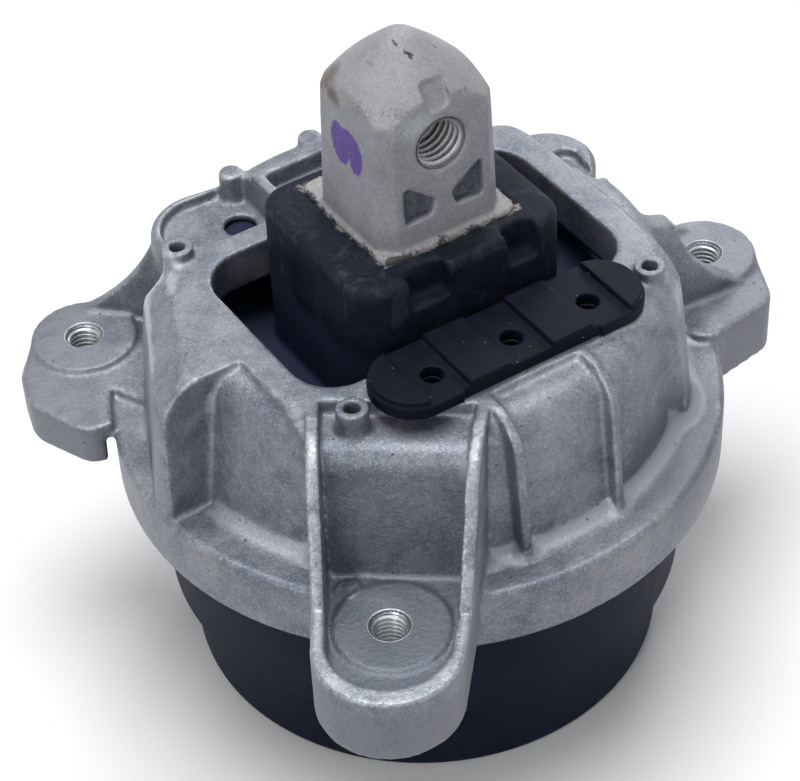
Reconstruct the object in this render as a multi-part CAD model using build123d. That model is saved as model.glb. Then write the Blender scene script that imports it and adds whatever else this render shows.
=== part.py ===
from build123d import *
from math import cos, radians, sin, tan
import os

# Hydraulic engine mount with a die-cast housing on three threaded feet.
# Units are millimetres. The origin is on the mount's axis, on the flat base of the can, with +Z up.
# X runs along the stop pad, and the threaded bore of the post opens towards -Y.

# Can
can_radius = 61.4
can_step_height = 23.5
can_lower_radius = 57.8
can_base_radius = 56.5
can_base_round = 1.6
can_wall = 2.4
can_flange = 1.5
flange_base = 54.5

# Flange and walls of the housing
flange_height = 15.5
flange_radius = 70.5
flange_edge = 1.2
deck_rise = 36.0
deck_recess = 1.4
wall_radius = 60.0
wall_draft = 6.6
wall_shoulder = 6.5
rib_radius = 63.4
rib_shoulder = 9.5
gusset_radius = 69.9
gusset_draft = 2.4
gusset_shoulder = 10.5
flange_top = flange_base + flange_height
deck_top = flange_top + deck_rise

# Flat deck and the opening in it
deck_half_width = 48.5
deck_front = -46.5
opening_half_width = 41.3
opening_front = -27.0
opening_back = 25.0
opening_corner = 10.5
deck_plate = 10.5
deck_band = 6.0
saddle_left = -14.0
saddle_right = 26.0
saddle_back = 46.8
saddle_depth = 3.5
saddle_wall = 2.6
saddle_rise = 1.4

# Feet: the three threads lie on one circle
foot_circle = 79.8
foot_floor = 72.8
foot_base = 61.5
foot_thread_radius = 4.0
foot_mouth = 0.4
foot_disc_radius = 12.5
foot_disc_rise = 0.7
foot_body_drop = 0.6
right_foot_base = 57.0

# Front foot, a tub between two ribs
tub_angle = -127.3
tub_thread_angle = -127.7
tub_start = 30.0
tub_deck_edge = 47.0
tub_width_at_deck = 38.4
tub_width_at_end = 31.8
tub_end = 90.0
tub_side_wall = 2.8
tub_end_wall = 4.8
tub_rim = 5.6
tub_rib_crest = 57.0
tub_rib_knee = 69.5
tub_rib_toe = 80.5
tub_rib_knee_drop = 11.0
tub_wall_foot = 65.3
tub_wall_head = 58.8
tub_ledge_drop = 3.6
tub_ledge_round = 5.5
ejector_radius = 3.6
ejector_height = 0.4
ejector_inset = 10.4
ejector_side = -7.0

# Side feet and the masses that hold them to the shell; a corner is its middle and radius, x outwards
left_angle = 135.7
right_angle = -3.7
left_foot_corners = (
    (84.3, 12.4, 7.0), (80.8, 18.8, 7.0), (71.0, 24.0, 6.0), (57.0, 14.0, 5.0), (60.0, -7.0, 5.0),
)
right_foot_corners = ((80.2, -15.9, 6.5), (66.5, -19.3, 6.0), (62.0, 6.0, 5.0))
side_web = 3.0
relief_width = 2.2
relief_top = 68.0
relief_side = 14.0
step_inner = (59.9, 18.8)
step_outer = (69.8, 15.1)
left_web_side = -10.5
left_web_head = 62.0
right_web_side = 9.8
right_web_head = 58.0
right_web_top = 98.4
web_toe = 84.0
buttress_front = -7.0
buttress_angle = 154.7
buttress_foot = 62.8
buttress_crease = 60.2
buttress_crease_height = 99.5
buttress_first = -8.0
gusset_side = -10.8
gusset_thickness = 5.6
gusset_head = 61.6
gusset_top = 98.4
gusset_crest = 104.0
gusset_toe = 82.0

# Parallel ribs of the front panel
rib_pitch = 24.6
rib_thickness = 2.4

# Lugs at the back
left_lug = (-27.0, 44.5)
left_lug_radius = 13.6
left_lug_tail = (-9.0, 43.5)
left_lug_tail_radius = 12.0
right_lug = (50.6, 19.0)
right_lug_radius = 11.5
lug_rise = 29.8
lug_edge = 2.0
lug_lip = 2.6
lug_floor_drop = 2.6
locating_hole_radius = 3.8
locating_hole = (-19.6, 43.0)
trough_head = (54.2, 17.0)
trough_tail = (53.6, 4.0)
trough_head_radius = 3.4
trough_tail_radius = 2.6
trough_drop = 2.4
lug_top = flange_top + lug_rise

# Small bosses on the edge of the deck
boss_circle = 52.4
boss_angles = (-137.2, 142.6, -41.6)
boss_radius = 3.6
boss_top = 108.5
boss_root = 80.0
boss_hole_radius = 1.75
boss_hole_depth = 10.0
nub_places = ((-15.5, 53.2), (6.8, 54.2))
nub_radius = 3.0
nub_top = 104.8

# Inside of the housing
lip_thickness = 3.0
lip_gap = 0.3
stack_radius = 65.6
stack_gap = 0.2
stack_top = 66.0
ring_bore = 54.0
ring_wall = 1.8
spring_ring_top = 86.0
cavity_radius = 53.2
cavity_draft = 2.0
ceiling = deck_top - deck_plate

# Core casting
post_width = 31.4
post_depth = 28.6
post_draft = 1.9
post_chamfer = 3.6
post_base = 122.5
post_apex = 167.2
dome_side = -1.0
dome_waist = 5.0
dome_waist_drop = 2.3
dome_reach = 12.0
dome_drop = 8.4
dome_front_height = 156.0
bore_height = 145.5
bore_radius = 6.0
bore_depth = 23.0
bore_mouth = 0.45
pocket_side = 10.0
pocket_top = 138.4
pocket_floor = 128.4
pocket_inner = 2.2
pocket_inner_height = 132.4
pocket_depth = 3.0
notch_width = 6.1
notch_height = 7.0
notch_middle = 156.7
notch_side = -0.2
notch_inset = 2.9
notch_lean = 26.0
notch_corner = 0.8
band_half = 17.3
band_thickness = 2.0
band_sink = 1.2
band_corner = 3.0
band_centre = (0.8, 1.8)
core_width = 42.0
core_depth = 36.0
core_corner = 5.0
core_top = 116.0
core_bottom = 92.0
stem_bottom = 80.0
stem_radius = 13.0
stem_head_radius = 17.0

# Rubber spring
block_width = 53.0
block_depth = 46.0
block_corner = 7.5
block_top_round = 2.0
lobe_edges = (-15.0, -5.0, 10.0, 18.0)
lobe_depth = 4.4
lobe_height = 8.0
spring_valley = 84.0
spring_underside = 77.0
spring_foot = 68.6
spring_foot_width = 2.0
lining_gap = 0.4
lining_reach = 43.0
lining_lip = 92.5

# Stop pad
pad_centre = -35.9
pad_shift = 0.6
pad_length = 67.4
pad_width = 19.6
pad_corner = 9.4
pad_thickness = 2.9
pad_land = 1.4
pad_edge = 0.6
pad_hole_line = -37.1
pad_hole_pitch = 20.1
pad_hole_radius = 2.5
pad_pin_radius = 2.3
pad_pin_depth = 6.0
pad_land_length = 10.4
pad_land_pitch = 21.0
pad_end_land = 25.6
pad_waist = 0.8
pad_waist_reach = 17.6

# Stack below the spring
seal_thickness = 1.0
seal_width = 4.4
bead_thickness = 2.0
bead_width = 9.6
bead_core = 0.8
bead_core_width = 3.6
bead_core_inset = 1.2
plate_rim = 2.0
plate_gap = 0.4
plate_body_radius = 51.0
plate_body = 6.0
upper_body = 2.0
channel_inner = 38.0
channel_outer = 46.0
channel_depth = 4.0
channel_sweep = 320.0
port_radius = 3.2
membrane_radius = 24.0
membrane_thickness = 3.0
membrane_play = 0.5
membrane_gap = 0.4
grille_hole_radius = 3.4
grille_rings = ((1, 0.0), (8, 15.0))
bellows_wall = 2.0
bellows_floor = 30.0
bellows_floor_radius = 40.0
plate_joint = stack_top - plate_rim
lower_rim = plate_joint - plate_rim


def polar(radius, angle):
    return (radius * cos(radians(angle)), radius * sin(radians(angle)))


def outline(*points):
    """Flat face with straight sides."""
    return make_face(Polyline(*points, close=True))


def prism(face, bottom, top):
    """Upright solid on a face drawn in plan."""
    return extrude(Pos(0, 0, bottom) * face, top - bottom)


def drum(radius, bottom, top, x=0.0, y=0.0):
    return Pos(x, y, (bottom + top) / 2) * Cylinder(radius, top - bottom)


def turned(*points):
    """Solid turned about the mount's axis from points of radius and height."""
    return revolve(Plane.XZ * outline(*points), Axis.Z)


def hull_of(*circles):
    """Flat face drawn round circles given by their middle and radius."""
    edges = [edge for x, y, radius in circles for edge in (Pos(x, y) * Circle(radius)).edges()]
    return make_hull(edges)


def block(left, right, front, back):
    """Flat rectangle in plan between its four sides."""
    return outline((left, front), (right, front), (right, back), (left, back))


def domed_wall(radius, draft, top, shoulder):
    """Drafted round wall from the flange up to a flat top, with a round shoulder."""
    bottom = flange_top - 2.0
    head = radius - (top - bottom) * tan(radians(draft))
    wall = Pos(0, 0, (bottom + top) / 2) * Cone(radius, head, top - bottom)
    return fillet(wall.edges().group_by(Axis.Z)[-1], shoulder)


def upright(angle, offset=0.0):
    """Upright plane whose x runs outwards at the angle, and whose y is up."""
    out = (cos(radians(angle)), sin(radians(angle)), 0)
    origin = (-out[1] * offset, out[0] * offset, 0)
    return Plane(origin=origin, x_dir=out, z_dir=(out[1], -out[0], 0))


def tapered_stadium(width_at_deck, width_at_end, end):
    """Plan of the front foot in its own frame, x outwards."""
    slope = (width_at_deck - width_at_end) / 2 / (end - tub_deck_edge)
    start_half = width_at_end / 2 + slope * (end - tub_start)
    end_half = width_at_end / 2
    sides = outline((tub_start, -start_half), (end, -end_half), (end, end_half), (tub_start, start_half))
    return sides + Pos(end, 0) * Circle(end_half)


def tub_hollow():
    """Plan of the space inside the front foot's ribs."""
    inner_end = tub_end + tub_side_wall - tub_end_wall
    return tapered_stadium(
        tub_width_at_deck - 2 * tub_side_wall, tub_width_at_end - 2 * tub_side_wall, inner_end
    )


def front_foot():
    """Tub with a flat floor round the thread, between two ribs that rise to the deck."""
    outer = prism(tapered_stadium(tub_width_at_deck, tub_width_at_end, tub_end), foot_base, deck_top)
    hollow = prism(tub_hollow(), foot_floor, deck_top + 10)
    rim_top = foot_floor + tub_rim
    knee_top = deck_top - tub_rib_knee_drop
    reach = tub_end + tub_width_at_end
    crest = ThreePointArc(
        (tub_rib_crest, deck_top),
        (tub_rib_crest + 0.68 * (tub_rib_knee - tub_rib_crest), deck_top - 0.36 * tub_rib_knee_drop),
        (tub_rib_knee, knee_top),
    )
    run = Line(crest @ 1, (tub_rib_toe, rim_top))
    rest = Polyline(
        run @ 1, (reach, rim_top), (reach, foot_base - 1), (20, foot_base - 1), (20, deck_top),
        (tub_rib_crest, deck_top),
    )
    side_face = make_face(Curve() + [crest, run, rest])
    side = extrude(upright(0) * side_face, tub_width_at_deck, both=True)
    ribs = (outer & side) - hollow
    disc = drum(foot_disc_radius, foot_base, foot_floor + foot_disc_rise, x=foot_circle)
    mark = drum(
        ejector_radius, foot_floor - 1, foot_floor + ejector_height, foot_circle - ejector_inset, ejector_side
    )
    return Rot(0, 0, tub_angle) * (ribs + tub_wall() + (disc & outer) + mark)


def tub_wall():
    """Sloping wall between the ribs, up to a round brow under the deck."""
    ledge = deck_top - tub_ledge_drop
    wall_face = outline(
        (35, foot_base + 4), (tub_wall_foot + 1.4, foot_base + 4), (tub_wall_foot, foot_floor),
        (tub_wall_head, ledge), (35, ledge),
    )
    wall = extrude(upright(0) * wall_face, (tub_width_at_deck - tub_side_wall) / 2, both=True)
    brow = wall.edges().filter_by(Axis.Y).sort_by(Axis.Z)[-2:].sort_by(Axis.X)[-1]
    return fillet(brow, tub_ledge_round)


def tub_clearance():
    """Space between the ribs, cleared before the wall and its brow are put in."""
    area = tub_hollow() & block(tub_deck_edge, 130, -60, 60)
    return Rot(0, 0, tub_angle) * prism(area, foot_floor, deck_top + 10)


def side_foot(angle, corners, base):
    """Foot beside the flange: a round disc at the thread and a body drawn round a few corners."""
    disc = Pos(foot_circle, 0) * Circle(foot_disc_radius)
    body = hull_of((foot_circle, 0.0, foot_disc_radius), *corners)
    foot = prism(body, base, foot_floor - foot_body_drop)
    foot += prism(disc, base, foot_floor + foot_disc_rise)
    return Rot(0, 0, angle) * foot


def left_foot_relief():
    """Gap between the left foot and the flange's rim, and the step beside it down to the flange."""
    gap = drum(flange_radius + relief_width, foot_base - 1, relief_top)
    gap -= drum(flange_radius, foot_base - 2, relief_top + 1)
    gap = gap & Rot(0, 0, left_angle) * prism(block(40, 80, relief_side, 40), foot_base - 1, relief_top)
    inner_x, inner_y = step_inner
    outer_x, outer_y = step_outer
    beyond = outline(
        (inner_x - 12, inner_y), (inner_x, inner_y), (outer_x, outer_y), (outer_x, 40), (inner_x - 12, 40)
    )
    step = prism(beyond, flange_top, deck_top) & drum(flange_radius, flange_top, deck_top)
    return gap + Rot(0, 0, left_angle) * step


def web(angle, across, head, toe, thickness, high, crest):
    """Web from a side foot up to the deck: a hollow curve to the head, then a line to the crest."""
    low = foot_floor
    hollow = ThreePointArc(
        (toe, low),
        ((head + toe) / 2 + 1.0 - (toe - head) / 12, (low + high) / 2 - 4.0),
        (head, high),
    )
    rest = Polyline((head, high), (head - 14, crest), (head - 14, foot_base), (toe, foot_base), (toe, low))
    face = make_face(Curve() + [hollow, rest])
    return extrude(upright(angle, across) * face, thickness / 2, both=True)


def buttress():
    """Mass beside the left foot: a flat outer wall, cut off flat in front."""
    form = domed_wall(gusset_radius, gusset_draft, deck_top, gusset_shoulder)
    slope = deck_top - buttress_crease_height
    face = outline(
        (20, flange_top - 1), (buttress_foot, flange_top - 1), (buttress_crease, buttress_crease_height),
        (buttress_crease - slope, deck_top), (20, deck_top),
    )
    length = flange_radius / 2 + 15
    slab = extrude(upright(buttress_angle, buttress_first + length) * face, length, both=True)
    return form & slab & prism(block(-90, -20, buttress_front, 60), flange_top - 1, deck_top)


def deck():
    """Flat top round the opening and in front of it, with the saddle's block at the back."""
    form = domed_wall(rib_radius, wall_draft, deck_top, rib_shoulder)
    band_back = opening_back + deck_band
    area = block(-deck_half_width, deck_half_width, deck_front, band_back)
    plate = form & prism(area, flange_top, deck_top)
    saddle_form = domed_wall(rib_radius, wall_draft, deck_top + saddle_rise, wall_shoulder)
    saddle = block(saddle_left, saddle_right, band_back - 1, saddle_back)
    return plate + (saddle_form & prism(saddle, flange_top, deck_top + saddle_rise))


def lugs():
    """Both lugs as solids up to their tops."""
    left = prism(hull_of((*left_lug, left_lug_radius), (*left_lug_tail, left_lug_tail_radius)),
                 flange_top - 2, lug_top)
    right = prism(Pos(*right_lug) * Circle(right_lug_radius), flange_top - 2, lug_top)
    left = fillet(left.edges().group_by(Axis.Z)[-1], lug_edge)
    right = fillet(right.edges().group_by(Axis.Z)[-1], lug_edge)
    return left + right


def lug_clearance():
    """Everything cut away at the lugs: above them, the left one's sunk floor, and the right one's trough."""
    deck_edge = opening_back + deck_band
    reach = left_lug_radius
    above_left = hull_of((*left_lug, reach), (*left_lug_tail, reach)) & block(-60, saddle_left, deck_edge, 90)
    floor = hull_of((*left_lug, reach - lug_lip), (*left_lug_tail, reach - lug_lip))
    floor = floor & block(-60, saddle_left, deck_edge, 90)
    above_right = (Pos(*right_lug) * Circle(right_lug_radius)) & block(deck_half_width, 90, 8, 60)
    space = prism(above_left, lug_top, deck_top + 10)
    space += prism(floor, lug_top - lug_floor_drop, deck_top + 10)
    space += prism(above_right, lug_top, deck_top + 10)
    groove = hull_of((*trough_head, trough_head_radius), (*trough_tail, trough_tail_radius))
    low = lug_top - trough_drop
    side = outline((30, low), (12, low), (0, lug_top + 1), (0, deck_top + 10), (30, deck_top + 10))
    return space + (prism(groove, low - 1, deck_top + 10) & extrude(Plane.YZ * side, 80))


def bosses():
    """Small posts on the edge of the deck, three with holes and two plain."""
    posts = []
    for angle in boss_angles:
        posts.append(drum(boss_radius, boss_root, boss_top, *polar(boss_circle, angle)))
    for x, y in nub_places:
        posts.append(drum(nub_radius, boss_root, nub_top, x, y))
    return Compound(children=posts)


def housing_inside():
    """Everything open from below: the stack's seat, the ring's bore and the space round the spring."""
    seat = drum(stack_radius + stack_gap, flange_base + lip_thickness, stack_top)
    mouth = drum(can_radius + lip_gap, flange_base - 1, flange_base + lip_thickness)
    bore = drum(ring_bore, stack_top, spring_ring_top)
    cavity_head = cavity_radius - (ceiling - spring_ring_top) * tan(radians(cavity_draft))
    cavity = Pos(0, 0, (spring_ring_top + ceiling) / 2) * Cone(
        cavity_radius, cavity_head, ceiling - spring_ring_top
    )
    middle = (opening_front + opening_back) / 2
    window = Pos(0, middle) * RectangleRounded(
        2 * opening_half_width, opening_back - opening_front, opening_corner
    )
    return seat + mouth + bore + cavity + prism(window, ceiling - 1, deck_top + 10)


def housing():
    flange = drum(flange_radius, flange_base, flange_top)
    flange = fillet(flange.edges().filter_by(GeomType.CIRCLE), flange_edge)
    body = flange + domed_wall(wall_radius, wall_draft, deck_top - deck_recess, wall_shoulder)
    body += deck()
    rib_form = domed_wall(rib_radius, wall_draft, deck_top, rib_shoulder)
    for side in (-1, 1):
        x = side * rib_pitch / 2
        plate = block(x - rib_thickness / 2, x + rib_thickness / 2, -80, -40)
        body += rib_form & prism(plate, flange_top - 1, deck_top)
    body += buttress()
    body += lugs()
    body -= tub_clearance()
    body += front_foot()
    body += side_foot(left_angle, left_foot_corners, foot_base) - left_foot_relief()
    body += side_foot(right_angle, right_foot_corners, right_foot_base)
    body += web(left_angle, left_web_side, left_web_head, web_toe, side_web, lug_top, lug_top)
    body += web(right_angle, right_web_side, right_web_head, web_toe, side_web, right_web_top, right_web_top)
    body += web(right_angle, gusset_side, gusset_head, gusset_toe, gusset_thickness, gusset_top, gusset_crest)
    body -= lug_clearance()
    for post in bosses().children:
        body += post
    body -= housing_inside()
    saddle = block(
        saddle_left + saddle_wall, saddle_right - saddle_wall, opening_back - 1, saddle_back - saddle_wall
    )
    body -= prism(saddle, deck_top - saddle_depth, deck_top + 10)
    mouth_top = foot_floor + foot_disc_rise
    for angle in (tub_thread_angle, left_angle, right_angle):
        x, y = polar(foot_circle, angle)
        body -= drum(foot_thread_radius, right_foot_base - 1, mouth_top + 10, x, y)
        mouth = Cone(foot_thread_radius, foot_thread_radius + 2 * foot_mouth, 2 * foot_mouth)
        body -= Pos(x, y, mouth_top) * mouth
    for angle in boss_angles:
        x, y = polar(boss_circle, angle)
        body -= drum(boss_hole_radius, boss_top - boss_hole_depth, boss_top + 1, x, y)
    body -= drum(locating_hole_radius, spring_ring_top, deck_top + 10, *locating_hole)
    for step in (-1, 0, 1):
        x = pad_shift + step * pad_hole_pitch
        body -= drum(pad_pin_radius, deck_top - pad_pin_depth, deck_top + 1, x, pad_hole_line)
    return body


def post():
    """Tapered square post with chamfered corners under a round dome."""
    half_x = post_width / 2
    half_y = post_depth / 2
    plan = outline(
        (half_x - post_chamfer, -half_y), (half_x, -half_y + post_chamfer),
        (half_x, half_y - post_chamfer), (half_x - post_chamfer, half_y),
        (-half_x + post_chamfer, half_y), (-half_x, half_y - post_chamfer),
        (-half_x, -half_y + post_chamfer), (-half_x + post_chamfer, -half_y),
    )
    stem = extrude(Pos(0, 0, post_base - 1) * plan, post_apex - post_base + 2, taper=post_draft)
    crown = Spline(
        (0, post_apex), (dome_waist, post_apex - dome_waist_drop), (dome_reach, post_apex - dome_drop),
        tangents=[(1, 0), (1, -1)],
    )
    skirt = half_x + half_y
    rest = Polyline(
        crown @ 1, (skirt, post_apex - dome_drop - (skirt - dome_reach)), (skirt, post_base - 2),
        (0, post_base - 2), (0, post_apex),
    )
    dome = Pos(dome_side, 0) * revolve(Plane.XZ * make_face(Curve() + [crown, rest]), Axis.Z)
    rise = post_apex - dome_front_height
    slope = outline(
        (-half_y, dome_front_height), (-half_y + rise, post_apex + 1), (half_y + 5, post_apex + 1),
        (half_y + 5, post_base - 2), (-half_y - 5, post_base - 2), (-half_y - 5, dome_front_height - 5),
    )
    return stem & dome & extrude(Plane.YZ * slope, skirt, both=True)


def core_post():
    face_y = post_depth / 2
    body = post()
    bore = Pos(0, -face_y, bore_height) * Rot(90, 0, 0) * Cylinder(bore_radius, 2 * bore_depth)
    mouth_middle = -face_y + (bore_height - post_base) * tan(radians(post_draft)) + bore_mouth / 2
    mouth = Pos(0, mouth_middle, bore_height) * Rot(90, 0, 0) * Cone(
        bore_radius, bore_radius + 2 * bore_mouth, 2 * bore_mouth
    )
    body -= bore + mouth
    for side in (-1, 1):
        pocket = outline(
            (side * pocket_side, pocket_top), (side * pocket_side, pocket_floor),
            (side * (pocket_inner + 0.8), pocket_floor + 0.4), (side * pocket_inner, pocket_inner_height),
        )
        pocket = fillet(pocket.vertices(), 0.9)
        floor = Plane(origin=(0, -face_y + pocket_depth, 0), x_dir=(1, 0, 0), z_dir=(0, -1, 0))
        body -= extrude(floor * pocket, 10)
    recess = Pos(notch_side, -post_depth / 2 + notch_inset, notch_middle) * Rot(90 - notch_lean, 0, 0)
    corner_x = notch_width / 2 - notch_corner
    corner_y = notch_height / 2 - notch_corner
    tongue = hull_of(
        (-corner_x, corner_y, notch_corner), (corner_x, corner_y, notch_corner),
        (0, (notch_width - notch_height) / 2, notch_width / 2),
    )
    body -= extrude(recess * tongue, 8)
    band = Pos(*band_centre) * RectangleRounded(2 * band_half, 2 * band_half, band_corner)
    plate = prism(band, post_base - band_thickness, post_base)
    plate = fillet(plate.edges().group_by(Axis.Z)[-1], 0.8)
    neck = prism(RectangleRounded(2 * band_half - 2, 2 * band_half - 2, band_corner), core_top - 1,
                 post_base - band_thickness)
    core = prism(RectangleRounded(core_width, core_depth, core_corner), core_bottom, core_top)
    stem = Pos(0, 0, (stem_bottom + core_bottom) / 2) * Cone(
        stem_radius, stem_head_radius, core_bottom - stem_bottom
    )
    return body + plate + neck + core + stem


def main_spring():
    """Rubber block round the core, and the cone that joins it to the ring and lines the housing."""
    top = post_base - band_thickness + band_sink
    form = prism(RectangleRounded(block_width, block_depth, block_corner), spring_valley - 2, top)
    form = fillet(form.edges().group_by(Axis.Z)[-1], block_top_round)
    for left, right in ((lobe_edges[0], lobe_edges[1]), (lobe_edges[2], lobe_edges[3])):
        gap = block(left, right, -block_depth / 2 - 1, -block_depth / 2 + lobe_depth)
        cutter = prism(gap, top - lobe_height, top + 1)
        form -= fillet(cutter.edges().filter_by(Axis.Z).group_by(Axis.Y)[-1], 2.0)
    ring_inside = ring_bore - ring_wall
    lining = cavity_radius - lining_gap
    head = ceiling - lining_gap
    cone = turned(
        (0, spring_underside), (20, spring_underside), (40, spring_foot + 3.5),
        (ring_inside - spring_foot_width, spring_foot), (ring_inside, spring_foot),
        (ring_inside, spring_ring_top), (lining - 0.4, spring_ring_top + 0.3), (lining - 0.6, head),
        (lining_reach, head), (lining_reach, lining_lip), (48, lining_lip - 2.5), (45, spring_valley + 1.5),
        (36, spring_valley), (0, spring_valley),
    )
    return form + cone


def spring_ring():
    inner = ring_bore - ring_wall
    return drum(ring_bore, stack_top, spring_ring_top) - drum(inner, stack_top - 1, spring_ring_top + 1)


def stop_pad():
    """Rubber pad with three holes, four raised lands and a front edge that steps back in its middle."""
    plan = RectangleRounded(pad_length, pad_width, pad_corner)
    body = prism(plan, deck_top, deck_top + pad_thickness)
    inner = RectangleRounded(pad_length - 2 * pad_edge, pad_width - 2 * pad_edge, pad_corner - pad_edge)
    half = pad_land_length / 2
    for side in (-1, 1):
        middle = side * pad_land_pitch / 2
        end = sorted((side * pad_end_land, side * pad_length))
        for left, right in ((middle - half, middle + half), end):
            land = inner & block(left, right, -pad_width, pad_width)
            body += prism(land, deck_top + pad_thickness - 1, deck_top + pad_thickness + pad_land)
    front = -pad_width / 2
    waist = block(-pad_waist_reach, pad_waist_reach, front - 1, front + pad_waist)
    body -= prism(waist, deck_top - 1, deck_top + pad_thickness)
    for step in (-1, 0, 1):
        hole_y = pad_hole_line - pad_centre
        body -= drum(pad_hole_radius, deck_top - 1, deck_top + 20, step * pad_hole_pitch, hole_y)
    return Pos(pad_shift, pad_centre) * body


def base_can():
    """Cup that steps in below its upper band, with a flange held by the housing's lip."""
    seat = flange_base + lip_thickness
    cup = turned(
        (0, 0), (can_base_radius, 0), (can_lower_radius, can_step_height - 1), (can_radius, can_step_height),
        (can_radius, seat), (stack_radius, seat), (stack_radius, seat + can_flange), (0, seat + can_flange),
    )
    cup = fillet(cup.edges().group_by(Axis.Z)[0], can_base_round)
    inner = turned(
        (0, can_wall), (can_base_radius - can_wall, can_wall),
        (can_lower_radius - can_wall, can_step_height + can_wall - 1),
        (can_radius - can_wall, can_step_height + can_wall), (can_radius - can_wall, seat + can_flange + 1),
        (0, seat + can_flange + 1),
    )
    return cup - inner


def can_seal():
    bottom = flange_base + lip_thickness + can_flange
    outer = drum(stack_radius - plate_gap, bottom, bottom + seal_thickness)
    return outer - drum(stack_radius - plate_gap - seal_width, bottom - 1, bottom + seal_thickness + 1)


def bellows_ring():
    middle = lower_rim - bead_thickness / 2
    outer = stack_radius - plate_gap - bead_core_inset
    ring = drum(outer, middle - bead_core / 2, middle + bead_core / 2)
    return ring - drum(outer - bead_core_width, middle - 1, middle + 1)


def bellows():
    """Thin rubber bag whose edge bead is held under the plates."""
    top = lower_rim
    bottom = top - bead_thickness
    outer = stack_radius - plate_gap
    inner = outer - bead_width
    wall = bellows_wall
    fold = bellows_floor_radius
    form = turned(
        (0, top), (outer, top), (outer, bottom), (inner + wall, bottom), (fold + wall, bellows_floor),
        (0, bellows_floor),
    )
    space = turned(
        (0, top + 1), (inner, top + 1), (inner, bottom), (fold, bellows_floor + wall),
        (0, bellows_floor + wall),
    )
    return form - space


def grille(bottom, top):
    """Pattern of round holes through a plate's middle."""
    holes = []
    for count, radius in grille_rings:
        for index in range(count):
            x, y = polar(radius, 360 / count * index)
            holes.append(drum(grille_hole_radius, bottom, top, x, y))
    return holes


def lower_channel_plate():
    bottom = lower_rim - plate_body
    body = drum(stack_radius - plate_gap, lower_rim, plate_joint)
    body += drum(plate_body_radius, bottom, plate_joint)
    groove_bottom = plate_joint - channel_depth
    groove = turned(
        (channel_inner, groove_bottom), (channel_outer, groove_bottom), (channel_outer, plate_joint + 1),
        (channel_inner, plate_joint + 1),
    )
    dam = prism(
        outline((0, 0), polar(80, channel_sweep), polar(80, 360)), groove_bottom, plate_joint + 1
    )
    body -= groove - dam
    middle = (channel_inner + channel_outer) / 2
    port_x, port_y = polar(middle, channel_sweep - 8)
    body -= drum(port_radius, bottom - 1, plate_joint, port_x, port_y)
    pocket = drum(membrane_radius + membrane_gap, plate_joint - membrane_thickness, plate_joint + 1)
    body -= pocket
    for hole in grille(bottom - 1, plate_joint):
        body -= hole
    return body


def upper_channel_plate():
    top = stack_top + upper_body
    body = drum(stack_radius - plate_gap, plate_joint, stack_top) + drum(plate_body_radius, plate_joint, top)
    body -= drum(membrane_radius + membrane_gap, plate_joint - 1, plate_joint + membrane_play)
    middle = (channel_inner + channel_outer) / 2
    body -= drum(port_radius, plate_joint - 1, top + 1, *polar(middle, 8))
    for hole in grille(plate_joint - 1, top + 1):
        body -= hole
    return body


def decoupler_membrane():
    return drum(membrane_radius, plate_joint - membrane_thickness, plate_joint)


if __name__ == "__main__":
    os.makedirs("parts", exist_ok=True)
    core = core_post()
    bead_ring = bellows_ring()
    pieces = {
        "housing": housing(),
        "core_post": core,
        "main_spring": main_spring() - core,
        "spring_ring": spring_ring(),
        "stop_pad": stop_pad(),
        "upper_channel_plate": upper_channel_plate(),
        "lower_channel_plate": lower_channel_plate(),
        "decoupler_membrane": decoupler_membrane(),
        "bellows": bellows() - bead_ring,
        "bellows_ring": bead_ring,
        "can_seal": can_seal(),
        "base_can": base_can(),
    }
    for name, piece in pieces.items():
        export_step(piece, f"parts/{name}.step")
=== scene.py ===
from math import cos, radians, sin, tau

import bpy
import bmesh
import numpy as np
from mathutils import Matrix, Vector
from mathutils.kdtree import KDTree


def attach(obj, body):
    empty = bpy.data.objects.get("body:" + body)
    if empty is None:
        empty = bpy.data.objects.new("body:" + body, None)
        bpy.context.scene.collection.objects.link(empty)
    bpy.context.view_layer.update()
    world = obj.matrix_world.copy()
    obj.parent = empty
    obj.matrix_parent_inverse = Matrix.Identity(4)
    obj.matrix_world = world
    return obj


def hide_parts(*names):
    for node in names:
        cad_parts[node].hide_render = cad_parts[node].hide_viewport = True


# Hydraulic engine mount: the castings, rubber and can get their skins, edges, threads and finishes here.
# Lengths are metres, but names that end in _mm or _MM, the finishes and the functions that give shares
# of the smoothing or of the wear use millimetres. Angles are degrees from +X.

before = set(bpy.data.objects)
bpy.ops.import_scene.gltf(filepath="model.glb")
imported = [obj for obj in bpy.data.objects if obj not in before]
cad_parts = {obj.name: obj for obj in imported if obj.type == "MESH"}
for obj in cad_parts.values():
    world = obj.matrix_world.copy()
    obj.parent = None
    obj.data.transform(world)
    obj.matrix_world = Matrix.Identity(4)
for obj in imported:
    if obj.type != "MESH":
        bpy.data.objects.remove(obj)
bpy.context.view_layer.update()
MM = 0.001

# Places taken from the model
FOOT_CIRCLE_MM = 79.8
FOOT_ANGLES = (-127.7, 135.7, -3.7)
FOOT_BASES = (61.5 * MM, 61.5 * MM, 57.0 * MM)
FOOT_TOP = 73.5 * MM
BOSS_CIRCLE_MM = 52.4
BOSS_ANGLES = (-137.2, 142.6, -41.6)
BORE_HEIGHT_MM = 145.5
BORE_FACE = -13.54 * MM
POST_FOOT_MM = (0.8, 1.8)
PAD_HOLES_MM = tuple((x, -37.1) for x in (-19.5, 0.6, 20.7))
VENT_MM = (-19.6, 43.0)

# The front foot is a tub: its ribs run out along this angle and close in by this much per mm, up to the
# centre of its round end; a pin left its round mark in the tub's floor
TUB_ANGLE = -127.3
TUB_TAPER = 0.0767
TUB_END_MM = 90.0
PIN_MARK_MM = (-50.2, -49.2, 73.0)


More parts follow.
